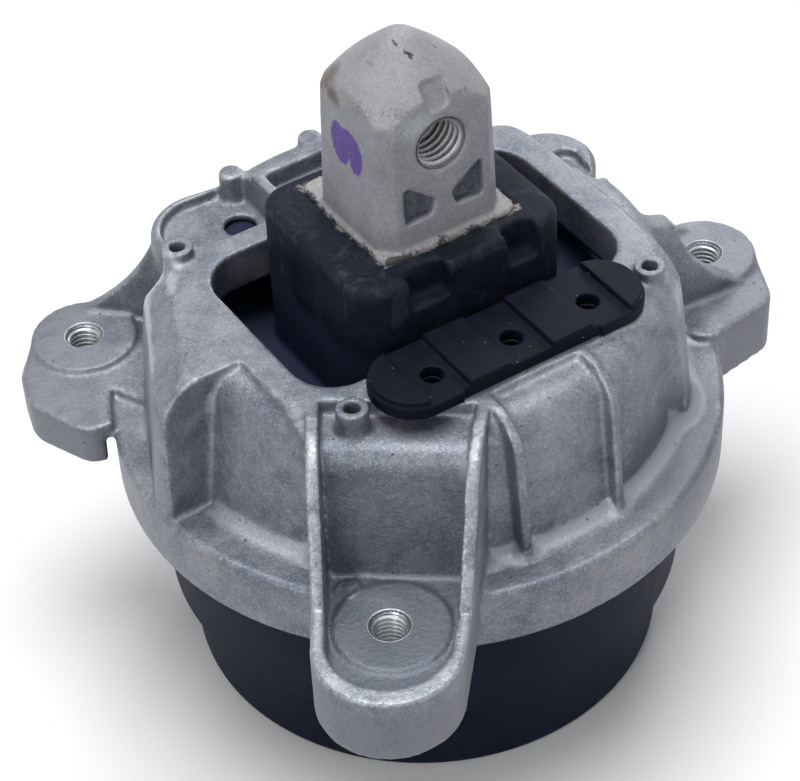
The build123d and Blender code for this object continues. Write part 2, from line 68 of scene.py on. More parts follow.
def polar(radius, angle):
    return radius * cos(radians(angle)), radius * sin(radians(angle))


# ---------------------------------------------------------------- meshes


def add_piece(name, mesh):
    piece = bpy.data.objects.new(name, mesh)
    bpy.context.scene.collection.objects.link(piece)
    return piece


def baked_mesh(piece):
    """Plain mesh of a piece with its modifiers applied, and the modifiers removed."""
    depsgraph = bpy.context.evaluated_depsgraph_get()
    mesh = bpy.data.meshes.new_from_object(piece.evaluated_get(depsgraph))
    piece.modifiers.clear()
    old = piece.data
    piece.data = mesh
    mesh.name = piece.name
    if old.users == 0:
        bpy.data.meshes.remove(old)
    return mesh


def node_copy(node, name):
    """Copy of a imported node's mesh with its seams merged."""
    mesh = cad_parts[node].data.copy()
    form = bmesh.new()
    form.from_mesh(mesh)
    bmesh.ops.remove_doubles(form, verts=form.verts, dist=1e-6)
    form.to_mesh(mesh)
    form.free()
    mesh.materials.clear()
    return add_piece(name, mesh)


def points_of(mesh):
    co = np.empty(len(mesh.vertices) * 3)
    mesh.vertices.foreach_get("co", co)
    return co.reshape(-1, 3)


def triangle_count(mesh):
    return sum(len(face.vertices) - 2 for face in mesh.polygons)


def relax(place, first, second, share, passes):
    """Draws each point towards the middle of its neighbours, by its share, and leaves the rest."""
    moving = share > 0.01
    kept = moving[first] | moving[second]
    used = np.unique(np.concatenate([first[kept], second[kept]]))
    index = np.zeros(len(place), np.int64)
    index[used] = np.arange(len(used))
    a, b = index[first[kept]], index[second[kept]]
    count = len(used)
    near = np.maximum(np.bincount(a, minlength=count) + np.bincount(b, minlength=count), 1)
    local = place[used]
    pull = np.where(moving[used], 0.5 * share[used], 0.0)
    for _ in range(passes):
        for axis in range(local.shape[1]):
            line = local[:, axis]
            total = np.bincount(a, line[b], count) + np.bincount(b, line[a], count)
            local[:, axis] = line + pull * (total / near - line)
    place[used] = local


def cast_skin(piece, cell, passes, soften, triangles, rounds=(), paint=None):
    """Even skin over a casting or moulding, with its sharp edges and corners softened as a die leaves them.

    soften gives each point's share of the smoothing, and rounds holds more (share, passes) for large
    rounds. The attribute "crown" keeps how much a point stood out (positive) or lay in a corner
    (negative) before, for the wear and for the painted highlight in corners. paint gives the stored
    wear and painted shade, from -1 where a face gets painted shade to 1 where it is rubbed.
    """
    skin = piece.modifiers.new("Even skin", "REMESH")
    skin.mode = "VOXEL"
    skin.voxel_size = cell
    mesh = baked_mesh(piece)
    start = points_of(mesh)
    ends = np.empty(len(mesh.edges) * 2, np.int64)
    mesh.edges.foreach_get("vertices", ends)
    first, second = ends.reshape(-1, 2).T
    count = len(start)
    place = start.copy()
    for share, times in ((soften, passes), *rounds):
        relax(place, first, second, share(start / MM), times)
    mesh.vertices.foreach_set("co", place.ravel())
    mesh.update()
    normals = np.empty(count * 3)
    mesh.vertices.foreach_get("normal", normals)
    crown = -np.einsum("ij,ij->i", place - start, normals.reshape(-1, 3))[:, None] / MM
    relax(crown, first, second, np.ones(count), 3)
    fewer = piece.modifiers.new("Fewer faces", "DECIMATE")
    fewer.ratio = min(1.0, triangles / triangle_count(mesh))
    fewer.use_collapse_triangulate = True
    tree = KDTree(count)
    for index, point in enumerate(place):
        tree.insert(point, index)
    tree.balance()
    mesh = baked_mesh(piece)
    kept = points_of(mesh)
    values = np.array([crown[tree.find(point)[1], 0] for point in kept], np.float32)
    mesh.attributes.new("crown", "FLOAT", "POINT").data.foreach_set("value", values)
    if paint is not None:
        normals = np.empty(len(kept) * 3)
        mesh.vertices.foreach_get("normal", normals)
        values = paint(kept / MM, normals.reshape(-1, 3)).astype(np.float32)
        mesh.attributes.new("wear_and_shade", "FLOAT", "POINT").data.foreach_set("value", values)
    mesh.shade_smooth()
    return piece


def lathe(name, profile, segments):
    """Closed piece turned about Z from points of radius and height that start and end on the axis."""
    form = bmesh.new()
    rings = []
    for radius, height in profile:
        if radius < 1e-7:
            rings.append([form.verts.new((0, 0, height))])
        else:
            rings.append([
                form.verts.new((radius * cos(tau * i / segments), radius * sin(tau * i / segments), height))
                for i in range(segments)
            ])
    for low, high in zip(rings, rings[1:]):
        for i in range(segments):
            j = (i + 1) % segments
            corners = []
            for vert in (low[i % len(low)], low[j % len(low)], high[j % len(high)], high[i % len(high)]):
                if vert not in corners:
                    corners.append(vert)
            if len(corners) > 2:
                form.faces.new(corners)
    bmesh.ops.recalc_face_normals(form, faces=form.faces)
    mesh = bpy.data.meshes.new(name)
    form.to_mesh(mesh)
    form.free()
    mesh.shade_smooth()
    return add_piece(name, mesh)


def rounded(points, steps=4):
    """Profile with its corners rounded; each point is (radius, height, corner radius)."""
    result = []
    for index, (radius, height, corner) in enumerate(points):
        here = Vector((radius, height))
        if corner <= 0:
            result.append(tuple(here))
            continue
        into = Vector(points[index - 1][:2]) - here
        out = Vector(points[(index + 1) % len(points)][:2]) - here
        reach = min(corner, into.length * 0.45, out.length * 0.45)
        start = here + into.normalized() * reach
        end = here + out.normalized() * reach
        for step in range(steps + 1):
            t = step / steps
            result.append(tuple((1 - t) ** 2 * start + 2 * t * (1 - t) * here + t ** 2 * end))
    return result


# ---------------------------------------------------------------- threads


class NodeSheet:
    """Short way to wire up a node tree."""

    def __init__(self, tree):
        self.tree = tree

    def node(self, kind, **settings):
        made = self.tree.nodes.new(kind)
        for name, value in settings.items():
            setattr(made, name, value)
        return made

    def link(self, source, target):
        if isinstance(source, bpy.types.NodeSocket):
            self.tree.links.new(source, target)
        else:
            target.default_value = source

    def calc(self, operation, *values, clamp=False):
        """Result of a sum with one to three values or sockets."""
        made = self.node("ShaderNodeMath", operation=operation, use_clamp=clamp)
        for value, socket in zip(values, made.inputs):
            self.link(value, socket)
        return made.outputs[0]

    def times(self, first, second):
        return self.calc("MULTIPLY", first, second)

    def plus(self, first, second):
        return self.calc("ADD", first, second)

    def mix_shader(self, share, first, second):
        made = self.node("ShaderNodeMixShader")
        for value, socket in zip((share, first, second), made.inputs):
            self.link(value, socket)
        return made.outputs[0]


def thread_tree():
    """Inside thread with a chamfered mouth, as a tube that opens upwards at height 0."""
    tree = bpy.data.node_groups.new("Inside thread", "GeometryNodeTree")
    sheet = NodeSheet(tree)
    sockets = (
        ("Root radius", 0.004), ("Depth", 0.0007), ("Pitch", 0.00125), ("Length", 0.0115), ("Mouth", 0.0007),
    )
    for name, value in sockets:
        socket = tree.interface.new_socket(name, in_out="INPUT", socket_type="NodeSocketFloat")
        socket.default_value = value
    for name, value in (("Around", 64), ("Along", 110)):
        socket = tree.interface.new_socket(name, in_out="INPUT", socket_type="NodeSocketInt")
        socket.default_value = value
    tree.interface.new_socket("Finish", in_out="INPUT", socket_type="NodeSocketMaterial")
    tree.interface.new_socket("Geometry", in_out="OUTPUT", socket_type="NodeSocketGeometry")
    given = sheet.node("NodeGroupInput").outputs
    grid = sheet.node("GeometryNodeMeshGrid")
    grid.inputs["Size X"].default_value = 1.0
    grid.inputs["Size Y"].default_value = 1.0
    sheet.link(given["Around"], grid.inputs["Vertices X"])
    sheet.link(given["Along"], grid.inputs["Vertices Y"])
    place = sheet.node("ShaderNodeSeparateXYZ")
    sheet.link(sheet.node("GeometryNodeInputPosition").outputs[0], place.inputs[0])
    turn = sheet.times(place.outputs["X"], tau)
    drop = sheet.calc("SUBTRACT", 0.5, place.outputs["Y"])
    depth = sheet.times(drop, given["Length"])
    lead = sheet.plus(sheet.calc("DIVIDE", depth, given["Pitch"]), place.outputs["X"])
    wave = sheet.calc("PINGPONG", lead, 0.5)
    steepness, root_flat = 2.9, -0.22
    flank = sheet.calc("MULTIPLY_ADD", wave, steepness, root_flat, clamp=True)
    ridge = sheet.times(flank, given["Depth"])
    wall = sheet.calc("SUBTRACT", given["Root radius"], ridge)
    mouth = sheet.calc("SUBTRACT", sheet.plus(given["Root radius"], given["Mouth"]), depth)
    radius = sheet.calc("MAXIMUM", wall, mouth)
    spot = sheet.node("ShaderNodeCombineXYZ")
    sheet.link(sheet.times(radius, sheet.calc("COSINE", turn)), spot.inputs["X"])
    sheet.link(sheet.times(radius, sheet.calc("SINE", turn)), spot.inputs["Y"])
    sheet.link(sheet.times(depth, -1.0), spot.inputs["Z"])
    move = sheet.node("GeometryNodeSetPosition")
    sheet.link(grid.outputs["Mesh"], move.inputs["Geometry"])
    sheet.link(spot.outputs[0], move.inputs["Position"])
    merge = sheet.node("GeometryNodeMergeByDistance")
    merge.inputs["Distance"].default_value = 1e-6
    sheet.link(move.outputs[0], merge.inputs[0])
    real = sheet.node("GeometryNodeRealizeInstances")
    sheet.link(merge.outputs[0], real.inputs[0])
    paint = sheet.node("GeometryNodeSetMaterial")
    sheet.link(real.outputs[0], paint.inputs["Geometry"])
    sheet.link(given["Finish"], paint.inputs["Material"])
    sheet.link(paint.outputs[0], sheet.node("NodeGroupOutput").inputs[0])
    return tree


def threaded_sleeve(name, tree, place, finish, sizes, wall):
    """Thread made by the tree, given a wall, put in place and closed."""
    piece = add_piece(name, bpy.data.meshes.new(name))
    maker = piece.modifiers.new("Thread", "NODES")
    maker.node_group = tree
    keys = {item.name: item.identifier for item in tree.interface.items_tree if item.in_out == "INPUT"}
    for key, value in sizes.items():
        maker[keys[key]] = value
    maker[keys["Finish"]] = finish
    mesh = baked_mesh(piece)
    form = bmesh.new()
    form.from_mesh(mesh)
    bmesh.ops.recalc_face_normals(form, faces=form.faces)
    inward = sum(face.normal.dot(Vector((*face.calc_center_median().xy, 0))) for face in form.faces)
    if inward > 0:
        bmesh.ops.reverse_faces(form, faces=form.faces)
    form.to_mesh(mesh)
    form.free()
    solid = piece.modifiers.new("Wall", "SOLIDIFY")
    solid.thickness = wall
    solid.offset = -1.0
    mesh = baked_mesh(piece)
    mesh.transform(place)
    mesh.shade_smooth()
    mesh.materials.clear()
    mesh.materials.append(finish)
    return piece


# ---------------------------------------------------------------- finishes


class Finish(NodeSheet):
    """Material with its patterns read from Object coordinates in millimetres."""

    def __init__(self, name, metallic=0.0, ior=1.5):
        self.material = bpy.data.materials.new(name)
        self.material.use_nodes = True
        super().__init__(self.material.node_tree)
        self.tree.nodes.clear()
        self.shader = self.node("ShaderNodeBsdfPrincipled")
        self.shader.inputs["Metallic"].default_value = metallic
        self.shader.inputs["IOR"].default_value = ior
        self.surface = self.node("ShaderNodeOutputMaterial").inputs["Surface"]
        self.link(self.shader.outputs[0], self.surface)
        place = self.node("ShaderNodeTexCoord").outputs["Object"]
        scale = self.node("ShaderNodeVectorMath", operation="SCALE")
        self.link(place, scale.inputs[0])
        scale.inputs["Scale"].default_value = 1000.0
        self.spot = scale.outputs[0]
        parts = self.node("ShaderNodeSeparateXYZ")
        self.link(self.spot, parts.inputs[0])
        self.x, self.y, self.z = parts.outputs

    def noise(self, size_mm, detail=3.0, rough=0.5, distortion=0.0, stretch=None, seed=0.0):
        """Noise from 0 to 1 whose spots are about size_mm across."""
        spot = self.spot
        if stretch or seed:
            mapping = self.node("ShaderNodeMapping")
            self.link(spot, mapping.inputs["Vector"])
            mapping.inputs["Location"].default_value = (seed, seed * 0.7, -seed)
            if stretch:
                mapping.inputs["Scale"].default_value = stretch
            spot = mapping.outputs[0]
        made = self.node("ShaderNodeTexNoise")
        self.link(spot, made.inputs["Vector"])
        made.inputs["Scale"].default_value = 1.0 / size_mm
        made.inputs["Detail"].default_value = detail
        made.inputs["Roughness"].default_value = rough
        made.inputs["Distortion"].default_value = distortion
        return made.outputs["Fac"]

    def distance(self, centre, squash=(1, 1, 1)):
        """Distance from centre in mm, with each direction's distance divided by its squash."""
        away = self.node("ShaderNodeVectorMath", operation="SUBTRACT")
        self.link(self.spot, away.inputs[0])
        away.inputs[1].default_value = centre
        scaled = self.node("ShaderNodeVectorMath", operation="DIVIDE")
        self.link(away.outputs[0], scaled.inputs[0])
        scaled.inputs[1].default_value = squash
        length = self.node("ShaderNodeVectorMath", operation="LENGTH")
        self.link(scaled.outputs[0], length.inputs[0])
        return length.outputs["Value"]

    def pits(self, size_mm, spread_mm, seed=0.0):
        """1 inside small scattered spots, 0 elsewhere."""
        mapping = self.node("ShaderNodeMapping")
        self.link(self.spot, mapping.inputs["Vector"])
        mapping.inputs["Location"].default_value = (seed, -seed, seed * 0.3)
        cells = self.node("ShaderNodeTexVoronoi")
        self.link(mapping.outputs[0], cells.inputs["Vector"])
        cells.inputs["Scale"].default_value = 1.0 / spread_mm
        edge = size_mm / spread_mm
        return self.span(cells.outputs["Distance"], edge, edge * 0.55)

    def span(self, value, low, high):
        """value brought from low..high to 0..1, and held there."""
        made = self.node("ShaderNodeMapRange", clamp=True)
        self.link(value, made.inputs["Value"])
        made.inputs["From Min"].default_value = low
        made.inputs["From Max"].default_value = high
        return made.outputs["Result"]

    def mix(self, share, first, second):
        made = self.node("ShaderNodeMix", data_type="RGBA")
        self.link(share, made.inputs["Factor"])
        self.link(first if isinstance(first, bpy.types.NodeSocket) else (*first, 1.0), made.inputs["A"])
        self.link(second if isinstance(second, bpy.types.NodeSocket) else (*second, 1.0), made.inputs["B"])
        return made.outputs["Result"]

    def mix_value(self, share, first, second):
        made = self.node("ShaderNodeMix", data_type="FLOAT")
        self.link(share, made.inputs["Factor"])
        self.link(first, made.inputs["A"])
        self.link(second, made.inputs["B"])
        return made.outputs["Result"]

    def over(self, tone, share, strength, colour):
        """tone with colour laid over it where share is, as far as strength."""
        return self.mix(self.times(share, strength), tone, colour)

    def ragged_reach(self):
        """Larger sideways distance from the middle of the post's foot, with the ragged edge of its sand."""
        dx, dy = (
            self.calc("ABSOLUTE", self.calc("SUBTRACT", place, middle))
            for place, middle in zip((self.x, self.y), POST_FOOT_MM)
        )
        reach = self.calc("MAXIMUM", dx, dy)
        reach = self.plus(reach, self.times(self.noise(0.9, 5, 0.8, 0.6, seed=19), 4.4))
        return self.plus(reach, self.times(self.noise(4, 2, seed=29), 4.0))

    def stored(self, name):
        """Attribute of the mesh, see cast_skin."""
        return self.node("ShaderNodeAttribute", attribute_name=name).outputs["Fac"]

    def colour(self, value):
        self.link(value, self.shader.inputs["Base Color"])

    def roughness(self, value):
        self.link(value, self.shader.inputs["Roughness"])

    def bump(self, *layers):
        """Layers of (height, depth in mm), the first one lowest."""
        normal = None
        for height, depth_mm in layers:
            made = self.node("ShaderNodeBump")
            made.inputs["Strength"].default_value = 1.0
            made.inputs["Distance"].default_value = depth_mm * MM
            self.link(height, made.inputs["Height"])
            if normal is not None:
                self.link(normal, made.inputs["Normal"])
            normal = made.outputs[0]
        self.link(normal, self.shader.inputs["Normal"])


def plain(red, green, blue):
    """Linear colour from the usual screen values, 0 to 255."""
    return tuple(
        (v / 255 / 12.92) if v / 255 <= 0.04045 else ((v / 255 + 0.055) / 1.055) ** 2.4
        for v in (red, green, blue)
    )


def die_cast_finish():
    """Cool grey die-cast aluminium: cloudy, with a sparkling grain, dull pits and bright rubbed edges."""
    f = Finish("Die-cast aluminium", metallic=0.55)
    cloud = f.noise(24, 4, 0.55, 0.6)
    patch = f.noise(6.0, 4, 0.62, 0.4, seed=11)
    flow = f.noise(9, 4, 0.62, 0.5, stretch=(1.0, 1.0, 0.3), seed=23)
    speckle = f.noise(1.2, 4, 0.75, 0.3, seed=37)
    grain = f.noise(0.5, 2, 0.7)
    blend = f.calc("MULTIPLY_ADD", patch, 0.55, f.times(cloud, 0.45))
    tone = f.mix(f.span(blend, 0.38, 0.62), plain(93, 100, 112), plain(136, 139, 147))
    warm = f.span(f.noise(16, 4, 0.65, 0.8, seed=71), 0.46, 0.66)
    tone = f.over(tone, warm, 0.45, plain(134, 134, 138))
    tone = f.over(tone, f.span(flow, 0.54, 0.72), 0.6, plain(86, 93, 105))
    tone = f.over(tone, f.span(speckle, 0.46, 0.30), 0.45, plain(76, 82, 92))
    tone = f.over(tone, f.span(speckle, 0.56, 0.72), 0.45, plain(162, 165, 170))
    tone = f.over(tone, f.span(grain, 0.54, 0.72), 0.45, plain(180, 185, 190))
    tone = f.over(tone, f.span(grain, 0.46, 0.28), 0.4, plain(74, 79, 89))
    # Brownish scratches on the flange's edge, and the darker lower half of the flange and feet
    rim = f.span(f.distance((0, 0, 62.5), (1, 1, 1.9)), 70.2, 70.9)
    rim = f.times(rim, f.span(f.plus(speckle, f.times(patch, 0.6)), 0.74, 0.9))
    rim = f.times(rim, f.span(f.z, 74.0, 72.0))
    tone = f.over(tone, rim, 0.4, plain(134, 130, 129))
    lower = f.times(f.span(f.z, 78.0, 71.0), f.span(f.distance((0, 0, 72.0)), 72.0, 74.5))
    tone = f.over(tone, lower, 0.62, plain(104, 107, 116))
    # Darker flange below the right wall, and painted shade on the sunk floor and walls of the front foot
    dull = f.span(f.distance((36.0, -50.0, 70.0), (1, 1, 0.5)), 30.0, 14.0)
    tone = f.over(tone, dull, 0.58, plain(86, 90, 99))
    tub_shade = f.span(f.stored("wear_and_shade"), 0.0, -1.0)
    tone = f.over(tone, tub_shade, 0.62, plain(74, 81, 91))
    # Rubbed edges are bright, and the corners get a painted highlight
    wear = f.calc("MULTIPLY_ADD", speckle, 0.5, f.times(patch, 0.3))
    rubbed = f.span(f.plus(f.stored("crown"), wear), 0.54, 0.84)
    wear_and_shade = f.times(f.stored("wear_and_shade"), f.span(wear, 0.28, 0.54))
    rubbed = f.calc("MAXIMUM", rubbed, f.times(wear_and_shade, 0.95))
    tone = f.over(tone, rubbed, 0.66, plain(188, 194, 198))
    corner = f.span(f.calc("SUBTRACT", f.stored("crown"), f.times(patch, 0.2)), -0.2, -0.5)
    tone = f.over(tone, corner, 0.5, plain(170, 175, 181))
    holes = f.times(f.pits(0.34, 2.6), f.span(f.noise(3.2, 2, seed=5), 0.5, 0.62))
    tone = f.over(tone, holes, 0.75, plain(49, 52, 58))
    for hole in PAD_HOLES_MM:
        shade = f.span(f.distance((*hole, 104.0), (1, 1, 2)), 3.2, 2.9)
        tone = f.mix(shade, tone, plain(11, 12, 16))
    mark = f.distance(PIN_MARK_MM, (1, 1, 0.4))
    line = f.span(f.calc("ABSOLUTE", f.calc("SUBTRACT", mark, 3.0)), 0.6, 0.0)
    tone = f.over(tone, line, 0.25, plain(69, 74, 82))
    f.colour(tone)
    f.roughness(f.mix_value(rubbed, f.mix_value(f.span(patch, 0.3, 0.7), 0.40, 0.54), 0.36))
    f.bump(
        (f.noise(1.6, 3, 0.6, seed=3), 0.12), (speckle, 0.07), (grain, 0.08),
        (f.times(holes, -1.0), 0.12), (f.span(mark, 3.5, 2.5), 0.3),
    )
    return f.material


def thread_finish(name, low, high, metallic, rough, axis=None, groove=(0.0, 1.0)):
    """Cut metal of a thread, with painted shade in its grooves where its axis (centre, squash) is given."""
    f = Finish(name, metallic=metallic)
    grain = f.noise(0.4, 2, 0.6)
    tone = f.mix(f.span(grain, 0.3, 0.7), low, high)
    if axis:
        # Painted shade towards the root of each groove
        deep = f.span(f.distance(*axis), *groove)
        tone = f.over(tone, deep, 0.8, plain(44, 48, 54))
    f.colour(tone)
    f.roughness(f.mix_value(grain, rough, rough + 0.14))
    f.bump((grain, 0.015))
    return f.material


def inside(f, centre, half, turn):
    """Distance field of an ellipse seen along X, 0 at its middle and 1 at its edge."""
    da = f.calc("SUBTRACT", f.y, centre[0])
    db = f.calc("SUBTRACT", f.z, centre[1])
    c, s = cos(radians(turn)), sin(radians(turn))
    u = f.plus(f.times(da, c / half[0]), f.times(db, s / half[0]))
    v = f.plus(f.times(da, -s / half[1]), f.times(db, c / half[1]))
    return f.calc("SQRT", f.plus(f.times(u, u), f.times(v, v)))


def core_finish():
    """Warm grey blasted casting of the post, with a purple paint dab, brown stains and black nicks."""
    f = Finish("Blasted aluminium", metallic=0.35)
    cloud = f.noise(14, 3, 0.55, 0.4)
    grain = f.noise(0.3, 2, 0.7)
    coarse = f.noise(1.0, 4, 0.7, seed=7)
    tone = f.mix(f.span(cloud, 0.35, 0.65), plain(135, 135, 142), plain(153, 153, 158))
    dome = f.span(f.plus(f.z, f.times(cloud, 6)), 154.0, 161.0)
    tone = f.over(tone, dome, 0.8, plain(146, 143, 146))
    tone = f.over(tone, f.span(coarse, 0.5, 0.68), 0.4, plain(112, 112, 118))
    tone = f.over(tone, f.span(grain, 0.5, 0.75), 0.4, plain(188, 187, 189))
    tone = f.over(tone, f.span(grain, 0.5, 0.25), 0.4, plain(96, 96, 102))
    rubbed = f.span(f.plus(f.stored("crown"), f.times(coarse, 0.5)), 0.5, 0.8)
    tone = f.over(tone, rubbed, 0.5, plain(192, 190, 191))
    # Painted shade, with a speckled grain, in the two pockets: what lies behind the leaning front face,
    # within their height and width
    face_lean, face_foot = 0.0332, -18.37
    face = f.calc("MULTIPLY_ADD", f.z, face_lean, face_foot)
    deep = f.span(f.calc("SUBTRACT", f.y, face), 0.5, 2.0)
    low = f.times(f.span(f.z, 140.0, 138.0), f.span(f.z, 124.0, 126.0))
    pocket = f.times(f.times(deep, low), f.span(f.y, -8.4, -9.2))
    pocket = f.times(pocket, f.span(f.calc("ABSOLUTE", f.x), 11.4, 10.6))
    pocket_shade = f.mix(f.span(coarse, 0.44, 0.6), plain(58, 64, 75), plain(92, 100, 112))
    tone = f.over(tone, pocket, 0.85, pocket_shade)
    blue = f.span(f.noise(2.4, 4, 0.7, 0.6, seed=81), 0.5, 0.68)
    tone = f.over(tone, blue, 0.35, plain(108, 114, 126))
    # Rubbed spot beside the notch
    shine = f.plus(f.distance((-6.0, -12.6, 152.5), (4.6, 3.0, 2.6)), f.times(coarse, 1.2))
    shine = f.times(f.span(shine, 2.0, 1.1), f.span(grain, 0.3, 0.6))
    tone = f.over(tone, shine, 0.8, plain(180, 187, 190))
    specks = f.times(f.pits(0.26, 1.5, seed=4), f.span(f.noise(7, 2, seed=9), 0.58, 0.66))
    tone = f.over(tone, specks, 0.7, plain(74, 72, 74))
    # Black nicks, peppered dirt and brown stains, each as (centre, half sizes) and a strength
    nick_noise = f.times(f.noise(0.6, 4, 0.85, 1.0, seed=51), 3.4)
    for centre, size, strength in (
        ((-3.5, -2.7, 166.0), (0.5, 1.7, 0.6), 0.9), ((-2.0, -5.7, 164.2), (0.8, 1.3, 1.3), 0.95),
        ((-2.6, -4.9, 164.7), (0.5, 0.8, 0.8), 0.9), ((5.2, -4.6, 162.9), (1.6, 0.7, 0.5), 0.5),
        ((-8.6, -1.0, 162.2), (0.8, 1.8, 0.7), 0.35),
    ):
        nick = f.span(f.plus(f.distance(centre, size), nick_noise), 2.5, 2.2)
        tone = f.over(tone, nick, strength, plain(34, 31, 33))
    pepper = f.span(f.noise(0.55, 4, 0.8, seed=53), 0.53, 0.60)
    for centre, size, strength in (
        ((-13.6, -5.0, 155.2), (2.6, 5.4, 2.2), 0.75), ((-9.5, -10.8, 156.2), (4.0, 2.6, 1.8), 0.7),
        ((6.2, -12.6, 155.9), (3.6, 1.8, 0.7), 0.85), ((-12.8, 8.6, 156.4), (3.0, 3.4, 2.6), 0.8),
        ((-14.6, 4.8, 153.4), (2.4, 2.4, 1.6), 0.8), ((12.2, -4.0, 156.5), (2.0, 5.0, 1.2), 0.4),
    ):
        near = f.span(f.plus(f.distance(centre, size), f.times(coarse, 0.8)), 1.6, 0.9)
        tone = f.over(tone, f.times(near, pepper), strength, plain(60, 54, 54))
    stain_noise = f.times(f.noise(1.8, 4, 0.8, seed=31), 1.4)
    for centre, size in (((-13.2, 8.8, 156.2), (3.6, 4.2, 3.6)), ((-14.6, 4.8, 153.2), (2.8, 2.8, 2.0))):
        stain = f.span(f.plus(f.distance(centre, size), stain_noise), 1.9, 1.1)
        tone = f.over(tone, stain, 0.75, plain(88, 76, 68))
    # Sandy foot, bitten off in a ragged line where rubber covers it, and missing at one corner
    sand = f.span(f.plus(f.z, f.times(f.noise(2.0, 3, seed=41), 1.6)), 124.2, 122.8)
    sand_tone = f.mix(f.span(coarse, 0.4, 0.6), plain(122, 118, 116), plain(172, 167, 162))
    tone = f.over(tone, sand, 0.7, sand_tone)
    foot_top = f.span(f.z, 123.2, 122.9)
    bite = f.times(f.span(f.ragged_reach(), 21.3, 21.7), foot_top)
    patch = f.plus(f.distance((-14.4, -15.6, 122.0), (3.0, 1.5, 2.0)), f.times(coarse, 0.8))
    bite = f.calc("MAXIMUM", bite, f.times(f.span(patch, 1.45, 1.3), foot_top))
    side = f.span(f.z, 121.5, 120.8)
    tone = f.mix(f.calc("MAXIMUM", f.times(bite, 0.92), side), tone, plain(34, 35, 42))
    # Paint dab on the left face, made of three ellipses
    ragged = f.times(f.noise(1.0, 4, 0.7, seed=17), 0.5)
    dab = inside(f, (2.5, 143.0), (3.5, 4.9), -14)
    for centre, half, turn in (((-3.6, 142.0), (2.4, 4.1), 8), ((-0.6, 145.1), (4.4, 2.6), 0.0)):
        dab = f.calc("MINIMUM", dab, inside(f, centre, half, turn))
    paint = f.span(f.plus(dab, ragged), 1.3, 1.2)
    paint = f.times(paint, f.span(f.x, -11.5, -12.5))
    violet = f.mix(f.span(f.noise(2.2, 4, 0.6, seed=2), 0.35, 0.65), plain(54, 32, 118), plain(84, 38, 144))
    tone = f.over(tone, paint, 0.96, violet)
    f.colour(tone)
    rough = f.mix_value(rubbed, 0.62, 0.48)
    f.roughness(f.mix_value(paint, rough, 0.5))
    dull = f.calc("MAXIMUM", f.calc("MAXIMUM", paint, sand), bite)
    f.link(f.mix_value(dull, 0.35, 0.0), f.shader.inputs["Metallic"])
    f.bump((coarse, 0.12), (grain, 0.06))
    return f.material


def spring_finish():
    """Matte black moulded rubber, dusty on top, with sandy rags round the post's foot and light scuffs."""
    f = Finish("Spring rubber", ior=1.45)
    f.shader.inputs["Specular IOR Level"].default_value = 0.12
    cloud = f.noise(9, 4, 0.6, 0.5)
    grain = f.noise(0.5, 3, 0.6)
    tone = f.mix(f.span(cloud, 0.35, 0.68), plain(15, 18, 30), plain(28, 32, 44))
    # Painted light: the rubber is lighter and bluer low down, in the gap, where little light reaches
    tone = f.mix(f.span(f.z, 104.0, 90.0), tone, plain(46, 52, 76))
    rubbed = f.span(f.plus(f.stored("crown"), f.times(cloud, 0.5)), 0.42, 0.8)
    tone = f.over(tone, rubbed, 0.1, plain(58, 62, 74))
    top = f.span(f.z, 118.5, 120.5)
    dust = f.span(f.noise(5, 5, 0.65, 1.2, seed=12), 0.52, 0.72)
    tone = f.over(tone, f.times(dust, top), 0.3, plain(84, 87, 95))
    rag = f.times(f.span(f.ragged_reach(), 21.9, 21.5), f.span(f.z, 119.6, 120.0))
    crumbs = f.span(f.noise(0.8, 4, 0.75, seed=61), 0.60, 0.52)
    sand = f.mix(f.span(f.noise(0.7, 3, 0.7, seed=63), 0.4, 0.62), plain(96, 93, 93), plain(164, 159, 155))
    tone = f.mix(f.times(rag, crumbs), tone, sand)
    scuffs = (((0.9, 0.07, 0.07), (0.2, 0.5, 0.6)), ((0.09, 0.8, 0.09), (0.5, 0.1, -0.5)))
    for stretch, turn in scuffs:
        stretched = f.node("ShaderNodeMapping")
        f.link(f.spot, stretched.inputs["Vector"])
        stretched.inputs["Rotation"].default_value = turn
        stretched.inputs["Scale"].default_value = stretch
        hair = f.node("ShaderNodeTexNoise")
        f.link(stretched.outputs[0], hair.inputs["Vector"])
        hair.inputs["Scale"].default_value = 1.0
        hair.inputs["Detail"].default_value = 2.0
        scuff = f.times(f.span(hair.outputs["Fac"], 0.66, 0.7), f.span(cloud, 0.5, 0.6))
        tone = f.over(tone, scuff, 0.16, plain(96, 98, 106))
    f.colour(tone)
    f.roughness(f.mix_value(f.span(cloud, 0.3, 0.7), 0.5, 0.68))
    f.bump((f.noise(3.0, 3, seed=8), 0.12), (grain, 0.03))
    return f.material


def pad_finish():
    """Satin black rubber of the stop pad with a little dust."""
    f = Finish("Pad rubber", ior=1.45)
    f.shader.inputs["Specular IOR Level"].default_value = 0.1
    cloud = f.noise(7, 4, 0.6, 0.4)
    tone = f.mix(f.span(cloud, 0.35, 0.68), plain(8, 12, 24), plain(16, 20, 33))
    rubbed = f.span(f.plus(f.stored("crown"), f.times(cloud, 0.3)), 0.26, 0.55)
    tone = f.over(tone, rubbed, 0.45, plain(46, 49, 60))
    dust = f.times(f.pits(0.2, 2.0, seed=6), f.span(f.noise(4, seed=14), 0.54, 0.62))
    tone = f.mix(dust, tone, plain(150, 151, 156))
    f.colour(tone)
    f.roughness(f.mix_value(f.span(cloud, 0.3, 0.7), 0.48, 0.62))
    f.bump((f.noise(2.4, 3, seed=8), 0.06), (f.noise(0.4, 2), 0.02))
    return f.material


